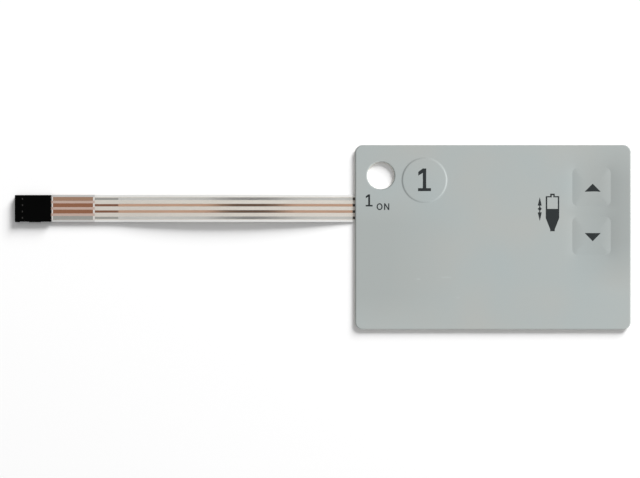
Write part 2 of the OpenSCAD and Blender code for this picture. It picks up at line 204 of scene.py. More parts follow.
def in_mm(group):
    """The values of a property group, with its lengths and places in millimetres."""
    made = SimpleNamespace()
    for name in group.__annotations__:
        value = getattr(group, name)
        if group.bl_rna.properties[name].unit == "LENGTH":
            value = value / MM if isinstance(value, float) else [c / MM for c in value]
        setattr(made, name, value)
    return made


class PanelProps(bpy.types.PropertyGroup):
    corner: length("Corner", "Radius of the panel's corners", 3)
    port_place: place("Port", "Middle of the port hole", (-45.05, 24.8))
    port_radius: length("Port radius", "Radius of the port hole", 5.5)
    film: length("Film", "Thickness of the overlay film", 0.25)
    edge_width: length("Edge width", "Width over which the cut edge rolls down", 0.4)
    edge_drop: length("Edge drop", "How far the cut edge rolls down", 0.24)
    face: colour("Face", "Colour of the printed film", (0.425, 0.458, 0.448))
    # The next two values paint shade into the film's colour: right of the square keys, and low on
    # the left
    wear: share("Wear", "How much darker the film is where the square keys are used", 0.19)
    soil: share("Soil", "How much darker the film is low on the left", 0.07)
    scuff: share("Scuff", "How much paler the film is where it is scuffed", 0.07)


class KeyProps(bpy.types.PropertyGroup):
    round_place: place("Round key", "Middle of the round key", (-27.55, 22.9))
    round_radius: length("Round radius", "Radius of the round key at its foot", 9.2)
    round_wall: length("Round wall", "Width of the round key's wall", 0.6)
    round_rise: length("Round rise", "Height of the round key's wall", 0.27)
    round_crown: length("Round crown", "Extra height in the middle of the round key", 0.1)
    fillet: length("Fillet", "How far the film's bend reaches past the round wall", 0.1)
    up_place: place("Up key", "Middle of the upper square key", (39.55, 20.2))
    down_place: place("Down key", "Middle of the lower square key", (39.55, 0.6))
    square_width: length("Square width", "Width of a square key at its foot", 15.4)
    square_corner: length("Square corner", "Corner radius of a square key at its foot", 2.2)
    square_wall: length("Square wall", "Width of a square key's rounded wall", 4.8)
    square_rise: length("Square rise", "Height of a square key's wall", 0.11)
    square_crown: length("Square crown", "Extra height in the middle of a square key", 0.08)
    dip: length("Dip", "Depth to which the film dips round a square key", 0.15)
    dip_reach: length("Dip reach", "Distance over which the film dips", 6)


class SignProps(bpy.types.PropertyGroup):
    lift: length("Lift", "Height of the ink above the film", 0.012)
    depth: length("Depth", "Thickness of the ink, part of it in the film", 0.03)
    ink: colour("Ink", "Colour of the printed signs", (0.021, 0.026, 0.027))


class TailProps(bpy.types.PropertyGroup):
    width: length("Width", "Width of the tail", 10.9)
    tongue: length("Tongue", "Width of the film inside the connector", 9.32)
    pitch: length("Pitch", "Distance between neighbouring conductors", 2.54)
    line: length("Line", "Width of a bare conductor", 0.9)
    covered_line: length("Covered line", "Width of a conductor under the coverlay", 1.06)
    pad: length("Pad", "Width of a pad", 1.5)
    film: length("Film", "Thickness of the tail film", 0.2)
    foil: length("Foil", "Thickness of the foil", 0.05)
    cover: length("Cover", "Thickness of the coverlay above the foil", 0.1)
    stiffener: length("Stiffener", "Thickness of the stiffener", 0.2)
    relief: length("Relief", "Gap beside a bare line's width in the coverlay", 0.1)
    glue: length("Glue", "Gap between films that lie on each other", 0.003)
    ridge: length("Ridge", "Height of the fold at the connector", 0.1)
    ridge_width: length("Ridge width", "Width of the fold at the connector", 1.4)
    cover_from: length("Cover from", "Where the coverlay starts, from the panel", 1)
    cover_to: length("Cover to", "Where the coverlay ends, from the panel", 95.1)
    pads_from: length("Pads from", "Where the wide pads start, from the panel", 104.6)
    visible: length("Visible", "Length of the tail outside the connector", 122)
    whole: length("Whole", "Length of the film with its end in the connector", 128.3)
    copper: colour("Copper", "Colour of the copper lines", (0.69, 0.45, 0.32))
    bare_copper: colour("Bare copper", "Colour of the bare copper lines", (0.31, 0.145, 0.09))
    pad_copper: colour("Pad copper", "Colour of the bare copper pads", (0.385, 0.175, 0.102))
    worn_copper: colour("Worn copper", "Colour of the palest pad", (0.475, 0.295, 0.205))
    # Painted highlight on the folds at the ends of a pad
    fold: colour("Fold", "Colour of the tinned folds at the ends of a pad", (0.96, 0.93, 0.89))
    tin: colour("Tin", "Colour of the tinned foil under the coverlay", (0.74, 0.735, 0.7))
    bare_tin: colour("Bare tin", "Colour of the tinned foil where it is bare", (0.46, 0.46, 0.43))
    # Painted shade on the foil where it leaves the panel
    dark_foil: colour("Dark foil", "Colour of the foil next to the panel", (0.06, 0.05, 0.045))
    film_tint: colour("Film tint", "Colour of the clear film", (0.75, 0.705, 0.64))
    # Painted light: the film beyond the conductors is paler, as if lit through its edges
    margin_painted_light: colour("Margin tint", "Colour beyond the conductors", (0.86, 0.86, 0.845))
    cover_tint: colour("Cover tint", "Colour of the clear coverlay", (0.86, 0.85, 0.82))
    stiffener_tint: colour("Stiffener tint", "Colour of the stiffener", (0.62, 0.46, 0.39))


class ConnectorProps(bpy.types.PropertyGroup):
    edge: length("Edge", "Radius of the housing's moulded edges", 0.07)
    plastic: colour("Plastic", "Colour of the housing", (0.0009, 0.001, 0.0009))
    dull: colour("Dull", "Colour of the contacts", (0.03, 0.029, 0.027))
    # The bright colour and its place paint a glint on each contact's latch
    bright: colour("Bright", "Colour of the worn spot on a contact's latch", (0.36, 0.35, 0.33))
    latch: length("Latch", "Distance of the worn spot from the connector's face", 2.95)


class LayerProps(bpy.types.PropertyGroup):
    adhesive: colour("Adhesive", "Colour of the overlay's adhesive", (0.7, 0.69, 0.62))
    spacer: colour("Spacer", "Colour of the dome spacer", (0.74, 0.74, 0.7))
    circuit: colour("Circuit", "Colour of the circuit film", (0.7, 0.67, 0.6))
    rear: colour("Rear", "Colour of the rear adhesive", (0.66, 0.66, 0.62))
    liner: colour("Liner", "Colour of the release liner", (0.78, 0.71, 0.54))
    steel: colour("Steel", "Colour of the snap domes", (0.56, 0.56, 0.57))


class StudioProps(bpy.types.PropertyGroup):
    distance: length("Distance", "Distance of the camera from the panel's face", 550)
    view_width: length("View width", "Width of the picture at the panel's face", 256.7)
    aim: place("Aim", "Point of the panel's plane in the middle of the picture", (-69.47, -0.7))
    key: share("Key", "Share of the object's light from the right", 0.625, 4)
    floor_key: share("Floor key", "Share of the floor's light from the top right", 0.76, 4)
    sky: share("Sky", "Brightness of the room's ceiling", 0.68, 4)
    wall: share("Wall", "Brightness of the room's walls", 0.2, 4)
    overhead: share("Overhead", "Share of the ceiling's light right over the object", 0.2)
    floor: colour("Floor", "Colour of the floor", (0.93, 0.93, 0.93))


# Drawing in the plane


def oval(width, height, middle, count=40):
    """Points of an oval, anticlockwise."""
    turns = [2 * math.pi * i / count for i in range(count)]
    x, y = middle
    return [(x + width / 2 * math.cos(a), y + height / 2 * math.sin(a)) for a in turns]


def ring_loop(radius, middle, count):
    """Points of a circle, anticlockwise."""
    return oval(2 * radius, 2 * radius, middle, count)


def rounded_loop(width, height, radius, middle=(0, 0), step=2.0, arc=10):
    """Corner points of a rounded rectangle, anticlockwise, with points along its sides."""
    half_w, half_h = width / 2 - radius, height / 2 - radius
    points = []
    for turn, (sx, sy) in enumerate(((1, 1), (-1, 1), (-1, -1), (1, -1))):
        for i in range(arc + 1):
            a = math.radians(90 * (turn + i / arc))
            points.append((sx * half_w + radius * math.cos(a), sy * half_h + radius * math.sin(a)))
    loop = []
    for a, b in zip(points, points[1:] + points[:1]):
        parts = max(1, round(math.dist(a, b) / step))
        for i in range(parts):
            t = i / parts
            loop.append(tuple(middle[k] + a[k] + t * (b[k] - a[k]) for k in (0, 1)))
    return loop


def loop_edges(count, first=0):
    """Pairs of neighbours in a closed loop of points."""
    return [(first + i, first + (i + 1) % count) for i in range(count)]


def rounded_distance(p, middle, width, height, radius):
    """Distance of a point outside a rounded rectangle; inside it is negative."""
    qx = abs(p[0] - middle[0]) - width / 2 + radius
    qy = abs(p[1] - middle[1]) - height / 2 + radius
    return math.hypot(max(qx, 0), max(qy, 0)) + min(max(qx, qy), 0) - radius


def within(p, loops):
    """Whether a point lies inside an odd number of loops."""
    odd = False
    for loop in loops:
        for a, b in zip(loop, loop[1:] + loop[:1]):
            if (a[1] > p[1]) != (b[1] > p[1]):
                if p[0] < a[0] + (p[1] - a[1]) * (b[0] - a[0]) / (b[1] - a[1]):
                    odd = not odd
    return odd


def filled(loops, inside, dots):
    """Triangles between loops and loose dots, kept where inside(point) holds."""
    points, edges = [], []
    for loop in loops:
        edges += loop_edges(len(loop), len(points))
        points += loop
    points += dots
    made, _, faces, *_ = delaunay_2d_cdt([Vector(p) for p in points], edges, [], 0, FLAT_GAP)
    kept = []
    for face in faces:
        middle = [sum(made[i][k] for i in face) / 3 for k in (0, 1)]
        if inside(middle):
            kept.append(face)
    used = sorted({i for face in kept for i in face})
    new = {old: i for i, old in enumerate(used)}
    return [tuple(made[i]) for i in used], [[new[i] for i in face] for face in kept]


# Objects and meshes


def shown(name, data, material=None):
    """A new object at the origin that holds a mesh, a curve, a lamp or a camera."""
    made = bpy.data.objects.new(name, data)
    bpy.context.scene.collection.objects.link(made)
    if material:
        data.materials.clear()
        data.materials.append(material)
    return made


def dropped(helper):
    """Takes a helper out of the scene, with its data."""
    data = helper.data
    bpy.data.objects.remove(helper)
    (bpy.data.curves if isinstance(data, bpy.types.Curve) else bpy.data.meshes).remove(data)


def soft_shaded(mesh, degrees=35):
    """Smooth shading that breaks at edges sharper than an angle."""
    mesh.polygons.foreach_set("use_smooth", [True] * len(mesh.polygons))
    mesh.set_sharp_from_angle(angle=math.radians(degrees))


def as_mesh(bm, name):
    """A new mesh from a working one, which is then let go."""
    made = bpy.data.meshes.new(name)
    bm.to_mesh(made)
    bm.free()
    return made


def joined(name, meshes):
    """One mesh from several, with faces that point outwards."""
    bm = bmesh.new()
    for mesh in meshes:
        bm.from_mesh(mesh)
        bpy.data.meshes.remove(mesh)
    bmesh.ops.remove_doubles(bm, verts=bm.verts, dist=JOIN_GAP)
    bmesh.ops.recalc_face_normals(bm, faces=bm.faces)
    return as_mesh(bm, name)


def solid_copy(node):
    """A merged copy of a solid's mesh, to be worked on."""
    bm = bmesh.new()
    bm.from_mesh(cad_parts[node].data)
    bmesh.ops.remove_doubles(bm, verts=bm.verts, dist=SOLID_GAP)
    return bm


def dress(node, material):
    """Gives a solid of the frame a material."""
    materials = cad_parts[node].data.materials
    materials.clear()
    materials.append(material)


def finish_piece(piece, slot, *nodes):
    """Ties a piece to the frame."""
    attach(piece, "root")
    if nodes:
        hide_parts(*nodes)
    return piece


# Node trees that make shapes


def tree_with(name, inputs):
    """An empty geometry tree with named inputs, and its two end nodes."""
    tree = bpy.data.node_groups.new(name, "GeometryNodeTree")
    tree.interface.new_socket("Geometry", in_out="INPUT", socket_type="NodeSocketGeometry")
    for label, kind in inputs:
        tree.interface.new_socket(label, in_out="INPUT", socket_type="NodeSocket" + kind)
    tree.interface.new_socket("Geometry", in_out="OUTPUT", socket_type="NodeSocketGeometry")
    return tree, tree.nodes.new("NodeGroupInput"), tree.nodes.new("NodeGroupOutput")


def add(tree, kind, links=(), **settings):
    """A node with its settings, and links or values for its inputs."""
    made = tree.nodes.new(kind)
    for key, value in settings.items():
        setattr(made, key, value)
    for socket, source in dict(links).items():
        if isinstance(source, bpy.types.NodeSocket):
            tree.links.new(source, made.inputs[socket])
        else:
            made.inputs[socket].default_value = source
    return made


def maths(tree, operation, *values):
    """The outcome of a sum with numbers or sockets."""
    return add(tree, "ShaderNodeMath", dict(enumerate(values)), operation=operation).outputs[0]


def closing(tree, geometry, given, end):
    """The last nodes of every tree: plain mesh, with its material."""
    real = add(tree, "GeometryNodeRealizeInstances", {"Geometry": geometry})
    painted = add(tree, "GeometryNodeSetMaterial", {
        "Geometry": real.outputs[0], "Material": given.outputs["Material"],
    })
    tree.links.new(painted.outputs[0], end.inputs["Geometry"])


def sweep_tree():
    """Draws a closed section along a stretch of a path."""
    tree, given, end = tree_with("tail sweep", [
        ("Path", "Object"), ("Start", "Float"), ("End", "Float"), ("Step", "Float"),
        ("Material", "Material"),
    ])
    route = add(tree, "GeometryNodeObjectInfo", {"Object": given.outputs["Path"]})
    stretch = add(tree, "GeometryNodeTrimCurve", {
        "Curve": route.outputs["Geometry"], 4: given.outputs["Start"], 5: given.outputs["End"],
    }, mode="LENGTH")
    even = add(tree, "GeometryNodeResampleCurve", {
        "Curve": stretch.outputs[0], "Length": given.outputs["Step"],
    }, mode="LENGTH")
    upright = add(tree, "GeometryNodeSetCurveNormal", {"Curve": even.outputs[0]}, mode="Z_UP")
    section = add(tree, "GeometryNodeMeshToCurve", {"Mesh": given.outputs["Geometry"]})
    body = add(tree, "GeometryNodeCurveToMesh", {
        "Curve": upright.outputs[0], "Profile Curve": section.outputs[0], "Fill Caps": True,
    })
    closing(tree, body.outputs[0], given, end)
    return tree


def drape_tree():
    """Lays a flat shape on a surface below it and gives it a thickness."""
    tree, given, end = tree_with("ink drape", [
        ("Surface", "Object"), ("Lift", "Float"), ("Depth", "Float"), ("Material", "Material"),
    ])
    lift, depth = given.outputs["Lift"], given.outputs["Depth"]
    ground = add(tree, "GeometryNodeObjectInfo", {"Object": given.outputs["Surface"]})
    here = add(tree, "GeometryNodeInputPosition").outputs[0]
    over = add(tree, "ShaderNodeVectorMath", {0: here, 1: (0, 0, FALL_FROM * MM)}, operation="ADD")
    ray = add(tree, "GeometryNodeRaycast", {
        "Target Geometry": ground.outputs["Geometry"], "Source Position": over.outputs[0],
        "Ray Direction": (0, 0, -1), "Ray Length": FALL * MM,
    })
    low = add(tree, "ShaderNodeCombineXYZ", {"Z": maths(tree, "SUBTRACT", lift, depth)})
    laid = add(tree, "GeometryNodeSetPosition", {
        "Geometry": given.outputs["Geometry"], "Position": ray.outputs["Hit Position"],
        "Offset": low.outputs[0],
    })
    up = add(tree, "ShaderNodeCombineXYZ", {"Z": depth})
    raised = add(tree, "GeometryNodeExtrudeMesh", {
        "Mesh": laid.outputs[0], "Offset": up.outputs[0], "Offset Scale": 1.0, "Individual": False,
    })
    under = add(tree, "GeometryNodeFlipFaces", {"Mesh": laid.outputs[0]})
    both = add(tree, "GeometryNodeJoinGeometry")
    for half in (raised, under):
        tree.links.new(half.outputs["Mesh"], both.inputs[0])
    tight = add(tree, "GeometryNodeMergeByDistance", {
        "Geometry": both.outputs[0], "Distance": INK_GAP,
    })
    closing(tree, tight.outputs[0], given, end)
    return tree


def grown(tree, base, values):
    """The plain mesh that a tree makes from a base object, which is then taken away."""
    stage = base.modifiers.new(tree.name, "NODES")
    stage.node_group = tree
    for item in tree.interface.items_tree:
        if item.in_out == "INPUT" and item.name in values:
            stage[item.identifier] = values[item.name]
    graph = bpy.context.evaluated_depsgraph_get()
    made = bpy.data.meshes.new_from_object(base.evaluated_get(graph), depsgraph=graph)
    base.modifiers.remove(stage)
    dropped(base)
    return made


# Nodes of materials


def surface(name, tint, roughness, **sockets):
    """A material with one main shader, and the tree that it stands in."""
    made = bpy.data.materials.new(name)
    made.use_nodes = True
    shader = made.node_tree.nodes["Principled BSDF"]
    shader.inputs["Base Color"].default_value = (*tint, 1)
    shader.inputs["Roughness"].default_value = roughness
    for socket, value in sockets.items():
        shader.inputs[socket.replace("_", " ")].default_value = value
    return made, made.node_tree, shader


def grain(tree, size, stretch=(1, 1, 1), detail=2.0):
    """Noise with grains of a size in millimetres, stretched along the axes."""
    coords = add(tree, "ShaderNodeTexCoord")
    scaled = add(tree, "ShaderNodeMapping", {
        "Vector": coords.outputs["Object"], "Scale": [1 / (size * MM * k) for k in stretch],
    })
    noise = add(tree, "ShaderNodeTexNoise", {
        "Vector": scaled.outputs[0], "Scale": 1.0, "Detail": detail,
    })
    return noise.outputs[0]


def mixed(tree, factor, under, over):
    """A colour that takes over from another by a factor."""
    ends = [c if isinstance(c, bpy.types.NodeSocket) else (*c, 1) for c in (under, over)]
    mix = add(tree, "ShaderNodeMix", {"Factor": factor, 6: ends[0], 7: ends[1]}, data_type="RGBA")
    return mix.outputs[2]


def shades(tint, by):
    """A colour a little darker and a little lighter."""
    return [c * (1 - by) for c in tint], [min(1, c * (1 + by)) for c in tint]


def ranged(tree, factor, low, high, from_low=NOISE_LOW, from_high=NOISE_HIGH, kind="LINEAR"):
    """A factor spread over a range of values."""
    made = add(tree, "ShaderNodeMapRange", {
        "Value": factor, "From Min": from_low, "From Max": from_high, "To Min": low, "To Max": high,
    }, interpolation_type=kind)
    return made.outputs[0]


def tinted(tree, shader, shade):
    """Base colour from a socket."""
    tree.links.new(shade, shader.inputs["Base Color"])


def roughened(tree, shader, factor, low, high):
    """Roughness that runs between two values."""
    tree.links.new(ranged(tree, factor, low, high), shader.inputs["Roughness"])


def bumped(tree, shader, factor, height):
    """Relief of a height in millimetres."""
    made = add(tree, "ShaderNodeBump", {"Height": factor, "Strength": 1.0, "Distance": height * MM})
    tree.links.new(made.outputs[0], shader.inputs["Normal"])


def coordinate(tree, axis):
    """A point's place along an axis, in metres."""
    coords = add(tree, "ShaderNodeTexCoord")
    return add(tree, "ShaderNodeSeparateXYZ", {0: coords.outputs["Object"]}).outputs[axis]


def along(tree, axis, low, high):
    """Factor that goes from 0 to 1 between two places along an axis, in millimetres."""
    return ranged(tree, coordinate(tree, axis), 0, 1, low * MM, high * MM)


def beside(tree, axis, middle, reach, soft=BORDER):
    """Factor that is 1 up to a distance from a place along an axis, and then falls to 0."""
    off = maths(tree, "SUBTRACT", coordinate(tree, axis), middle * MM)
    away = maths(tree, "ABSOLUTE", off)
    return ranged(tree, away, 1, 0, reach * MM, (reach + soft) * MM)


def overlap(tree, first, second):
    """Factor that is 1 where two others are."""
    return maths(tree, "MULTIPLY", first, second)


# Materials


def plain_material(name, tint, roughness, grain_size, by=0.04, relief=0.004, **sockets):
    """A material with fine grain in its colour, gloss and relief."""
    made, tree, shader = surface(name, tint, roughness, **sockets)
    fine = grain(tree, grain_size)
    tinted(tree, shader, mixed(tree, grain(tree, BLOTCH * grain_size), *shades(tint, by)))
    roughened(tree, shader, fine, roughness * 0.9, min(1, roughness * 1.1))
    bumped(tree, shader, fine, relief)
    return made


def contact_material(name, sizes):
    """Dull metal, with a painted glint in a small spot on the latch that shows in the housing's
    window.
    """
    made, tree, shader = surface(name + " metal", sizes.dull, roughness=0.4, Metallic=1.0)
    low, high = node_box(name)
    x = node_box("connector_housing")[0][0] + sizes.latch / MM
    y = (low[1] + high[1]) / 2
    fine = grain(tree, size=0.1)
    shade = mixed(tree, grain(tree, size=1.2), *shades(sizes.dull, by=0.06))
    # Painted glint on the latch
    painted_light = overlap(tree, beside(tree, "X", x, *SPOT_X), beside(tree, "Y", y, *SPOT_Y))
    tinted(tree, shader, mixed(tree, painted_light, shade, sizes.bright))
    roughened(tree, shader, fine, low=0.36, high=0.44)
    bumped(tree, shader, fine, height=0.002)
    return made


def film_material(name, tint, alpha, roughness):
    """Clear film: a faint tint and slow waves. Gives the tree, the shader and the tint as well."""
    made, tree, shader = surface(name, tint, roughness, Alpha=alpha)
    shade = mixed(tree, grain(tree, size=14), *shades(tint, by=0.025))
    tinted(tree, shader, shade)
    bumped(tree, shader, grain(tree, size=8, stretch=(3, 1, 1), detail=1.0), height=0.006)
    return made, tree, shader, shade


def base_material(tail):
    """The tail's clear film, paler beyond its outer conductors, where light through the film is
    painted.
    """
    sizes = tail.sizes
    made, tree, shader, shade = film_material(
        "clear film", sizes.film_tint, alpha=0.8, roughness=0.25
    )
    outer = tail.lines[0] + sizes.covered_line / 2
    # Painted light on the margins beyond the outer conductors, dimmer over the stiffener
    inside = beside(tree, "Y", tail.middle, outer + MARGIN_GAP)
    x = tail.x(sizes.pads_from)
    backed = along(tree, "X", x + BORDER, x - BORDER)
    inner = mixed(tree, backed, shade, sizes.stiffener_tint)
    margin = mixed(tree, backed, sizes.margin_painted_light, [BACKED_MARGIN * c for c in sizes.margin_painted_light])
    tinted(tree, shader, mixed(tree, inside, margin, inner))
    return made


def foil_material(name, tail, covered, bare, pads, roughness):
    """Etched foil, rolled along the tail: bright under the coverlay, dull where it is bare, with
    painted shade next to the panel and painted highlights on the folds at each end of a pad.
    """
    sizes = tail.sizes
    made, tree, shader = surface(name, covered, roughness, Metallic=1.0)
    lines = grain(tree, size=0.12, stretch=(60, 1, 1), detail=3.0)
    shade = mixed(tree, grain(tree, size=3, stretch=(3, 1, 1)), *shades(covered, by=0.07))
    for start, tint in ((sizes.cover_to, bare), (sizes.pads_from, pads)):
        x = tail.x(start)
        shade = mixed(tree, along(tree, "X", x + BORDER, x - BORDER), shade, tint)
    # Painted shade on the bare foil next to the panel
    x = tail.x(sizes.cover_from)
    shade = mixed(tree, along(tree, "X", x - BORDER, x + BORDER), shade, sizes.dark_foil)
    # Painted highlights on the folds at both ends of each pad
    for middle in (sizes.pads_from + FOLD_REACH, sizes.visible - FOLD_REACH):
        shade = mixed(tree, beside(tree, "X", tail.x(middle), FOLD_REACH), shade, sizes.fold)
    tinted(tree, shader, shade)
    roughened(tree, shader, lines, low=0.8 * roughness, high=1.2 * roughness)
    bumped(tree, shader, lines, height=0.0008)
    return made


def face_material(panel):
    """Matt printed polyester: fine grain, slow changes of tone, painted shade right of the square
    keys and low on the left, and scuffs.
    """
    tint = panel.face
    made, tree, shader = surface("printed film", tint, roughness=0.55, Specular_IOR_Level=0.35)
    fine = grain(tree, size=0.16, detail=3.0)
    warm, cool = ([c * k for c, k in zip(tint, tone)] for tone in (WARM, COOL))
    shade = mixed(tree, ranged(tree, grain(tree, size=28, detail=1.0), 0, 1), warm, cool)
    # Painted shade: the film is darker right of the square keys and low on the left
    for by, across, down in ((panel.wear, SHADE_BY_KEYS_X, SHADE_BY_KEYS_Y), (panel.soil, SHADE_LOW_LEFT_X, SHADE_LOW_LEFT_Y)):
        painted_light = overlap(tree, beside(tree, "X", *across), beside(tree, "Y", *down))
        shade = mixed(tree, painted_light, shade, [c * (1 - by) for c in tint])
    for (x, y), size in SCUFFS:
        across = beside(tree, "X", x, size / 4, size / 2)
        down = beside(tree, "Y", y, 0, SCUFF_WIDTH)
        scuffed = [c * (1 + panel.scuff) for c in tint]
        shade = mixed(tree, overlap(tree, across, down), shade, scuffed)
    tinted(tree, shader, shade)
    roughened(tree, shader, fine, low=0.5, high=0.6)
    bumped(tree, shader, fine, height=0.004)
    return made


# The overlay's shape


def eased(t):
    """Smooth step from 0 to 1."""
    t = min(max(t, 0), 1)
    return t * t * (3 - 2 * t)


class Face:
    """Heights of the overlay's two sides, in millimetres."""

    def __init__(self, panel, keys):
        low, high = node_box("graphic_overlay")
        self.panel, self.keys = in_mm(panel), in_mm(keys)
        self.width, self.height = high[0] - low[0], high[1] - low[1]
        self.under = low[2]
        self.flat = self.under + self.panel.film
        self.squares = (self.keys.up_place, self.keys.down_place)

    def outside(self, p):
        """Distance of a point outside the panel's outline; inside it is negative."""
        return rounded_distance(p, (0, 0), self.width, self.height, self.panel.corner)

    def edge(self, d):
        """Drop of the cut edge at a distance from it."""
        return -self.panel.edge_drop * max(0, 1 - d / self.panel.edge_width) ** EDGE_POWER

    def round_key(self, p):
        """Height of the round key."""
        keys = self.keys
        r = math.dist(p, keys.round_place)
        wide = keys.round_wall + 2 * keys.fillet
        wall = eased((keys.round_radius + keys.fillet - r) / wide)
        rim = keys.round_radius - keys.round_wall
        return keys.round_rise * wall + keys.round_crown * max(0, 1 - (r / rim) ** 2)

    def square_key(self, p, middle):
        """Height of a square key, and how far it pulls the film down round it."""
        keys = self.keys
        wide = keys.square_width
        d = rounded_distance(p, middle, wide, wide, keys.square_corner)
        if d >= 0:
            return 0, max(0, 1 - d / keys.dip_reach) ** DIP_POWER
        left = max(0, 1 + d / keys.square_wall) ** 2
        x, y = ((2 * (p[k] - middle[k]) / wide) ** 2 for k in (0, 1))
        return keys.square_rise * (1 - left) + keys.square_crown * (1 - x) * (1 - y), left

    def raised(self, p):
        """Height of the keys alone."""
        return self.round_key(p) + sum(self.square_key(p, m)[0] for m in self.squares)

    def upper(self, p):
        """Height of the upper side."""
        hole = math.dist(p, self.panel.port_place) - self.panel.port_radius
        edge = self.edge(max(0, min(-self.outside(p), hole)))
        pull = max(self.square_key(p, m)[1] for m in self.squares)
        return self.flat + edge + self.raised(p) - self.keys.dip * pull

    def lower(self, p):
        """Height of the lower side, which never goes below the film's seat."""
        return max(self.under, self.flat + self.raised(p) - self.panel.film)

    def loops(self):
        """Rings of points, close together where the film bends."""
        panel, keys = self.panel, self.keys
        made = []
        for d in (k * panel.edge_width for k in EDGE_RINGS):
            width, height = self.width - 2 * d, self.height - 2 * d
            made.append(rounded_loop(width, height, panel.corner - d, arc=14))
            made.append(ring_loop(panel.port_radius + d, panel.port_place, PORT_POINTS))
        foot = keys.round_radius + keys.fillet
        top = keys.round_radius - keys.round_wall - keys.fillet
        radii = [foot + OUTER_GAP, *np.linspace(foot, top, WALL_STEPS), top - INNER_GAP]
        radii += [top * k for k in ROUND_TOP_RINGS]
        for r in radii:
            count = LARGE_POINTS if r > SMALL_RING else SMALL_POINTS
            made.append(ring_loop(r, keys.round_place, count))
        offsets = [k * keys.dip_reach for k in DIP_RINGS] + [-d for d in WALL_RINGS]
        field = keys.square_width + 2 * offsets[-1]
        for middle in self.squares:
            for d in offsets:
                wide = keys.square_width + 2 * d
                corner = max(keys.square_corner + d, LEAST_CORNER)
                made.append(rounded_loop(wide, wide, corner, middle, step=1.0, arc=9))
            for wide in (field * k for k in FIELD_RINGS):
                made.append(rounded_loop(wide, wide, FIELD_CORNER, middle, step=1.0, arc=2))
        return made

    def holds(self, p):
        """Whether a point lies on the film, and not in the port hole."""
        in_hole = math.dist(p, self.panel.port_place) <= self.panel.port_radius * HOLE_SHARE
        return self.outside(p) < 0 and not in_hole


def overlay_mesh(face):
    """Closed mesh of the film: upper side, lower side and cut edges."""
    tops = [tuple(p) for p in (face.keys.round_place, *face.squares)]
    points, faces = filled(face.loops(), face.holds, tops)
    bm = bmesh.new()
    upper = [bm.verts.new((x * MM, y * MM, face.upper((x, y)) * MM)) for x, y in points]
    lower = [bm.verts.new((x * MM, y * MM, face.lower((x, y)) * MM)) for x, y in points]
    for a, b, c in faces:
        bm.faces.new((upper[a], upper[b], upper[c]))
    sides = [(e.verts[0], e.verts[1]) for e in bm.edges if e.is_boundary]
    for a, b, c in faces:
        bm.faces.new((lower[c], lower[b], lower[a]))
    below = dict(zip(upper, lower))
    for a, b in sides:
        bm.faces.new((a, b, below[b], below[a]))
    bmesh.ops.recalc_face_normals(bm, faces=bm.faces)
    made = as_mesh(bm, "overlay")
    soft_shaded(made, degrees=50)
    return made


# Signs, as loops of points in millimetres

NUMERAL = [
    (-0.5, 9.1), (-2.3, 7.7), (-2.3, 6.2), (-0.5, 7.3), (-0.5, 1.2), (-2.4, 1.2), (-2.4, 0),
    (2.8, 0), (2.8, 1.2), (0.9, 1.2), (0.9, 9.1),
]
LETTER_N = [
    (0, 0), (0.46, 0), (0.46, 1.86), (1.6, 0), (2.1, 0), (2.1, 2.65), (1.64, 2.65),
    (1.64, 0.79), (0.5, 2.65), (0, 2.65),
]
CHAMBER = [
    (-0.9, 7.5), (-0.9, 6.5), (-2.7, 6.5), (-2.7, -2.3), (-0.9, -6.9), (-0.9, -7.6),
    (0.9, -7.6), (0.9, -6.9), (2.7, -2.3), (2.7, 6.5), (0.9, 6.5), (0.9, 7.5),
]
CHAMBER_WINDOW = [
    (-2.1, 1.4), (2.15, 1.4), (2.15, 6), (0.35, 6), (0.35, 6.9), (-0.3, 6.9), (-0.3, 6), (-2.1, 6),
]
LEVEL_MARK = [
    (0, 4.8), (-0.8, 1.4), (-0.2, 1.4), (-0.2, 0.8), (-0.85, 0.1), (-0.2, -0.6), (-0.2, -1.3),
    (-0.8, -1.3), (0, -4.8), (0.8, -1.3), (0.2, -1.3), (0.2, -0.6), (0.85, 0.1), (0.2, 0.8),
    (0.2, 1.4), (0.8, 1.4),
]
UP_ARROW = [(-3.2, -1.6), (3.2, -1.6), (0, 1.6)]
DOWN_ARROW = [(-3.2, 1.65), (0, -1.65), (3.25, 1.65)]
# Middle of the letter O, and the width and height of its outer and its inner oval
O_MIDDLE = (1.2, 1.32)
O_OVALS = ((2.4, 2.75), (1.46, 1.83))


def moved(loop, at, scale=1.0):
    """A loop drawn at another place and scale."""
    return [(at[0] + x * scale, at[1] + y * scale) for x, y in loop]


def letter_o(at):
    """Outer and inner loop of the letter."""
    middle = (at[0] + O_MIDDLE[0], at[1] + O_MIDDLE[1])
    return [oval(width, height, middle) for width, height in O_OVALS]


SIGNS = {
    "sign_round_key": [moved(NUMERAL, (-27.75, 18.5))],
    "sign_legend": [
        moved(NUMERAL, (-49.85, 12.35), 0.533),
        *letter_o((-46.75, 10.95)),
        moved(LETTER_N, (-43.75, 10.95)),
    ],
    "sign_chamber": [moved(CHAMBER, (23.84, 10)), moved(CHAMBER_WINDOW, (23.84, 10))],
    "sign_level": [moved(LEVEL_MARK, (18.74, 11.3))],
    "sign_up": [moved(UP_ARROW, (39.94, 19.9))],
    "sign_down": [moved(DOWN_ARROW, (39.94, 0.05))],
}


def sign_mesh(name, loops, spacing=0.5):
    """Flat mesh of a sign, with inner points so that it can follow the film."""
    xs = [x for loop in loops for x, _ in loop]
    ys = [y for loop in loops for _, y in loop]
    dots = []
    for x in np.arange(min(xs) + spacing / 2, max(xs), spacing):
        for y in np.arange(min(ys) + spacing / 2, max(ys), spacing):
            if within((x, y), loops):
                dots.append((float(x), float(y)))
    points, faces = filled(loops, lambda p: within(p, loops), dots)
    made = bpy.data.meshes.new(name)
    made.from_pydata([(x * MM, y * MM, 0) for x, y in points], [], faces)
    return made


# The tail


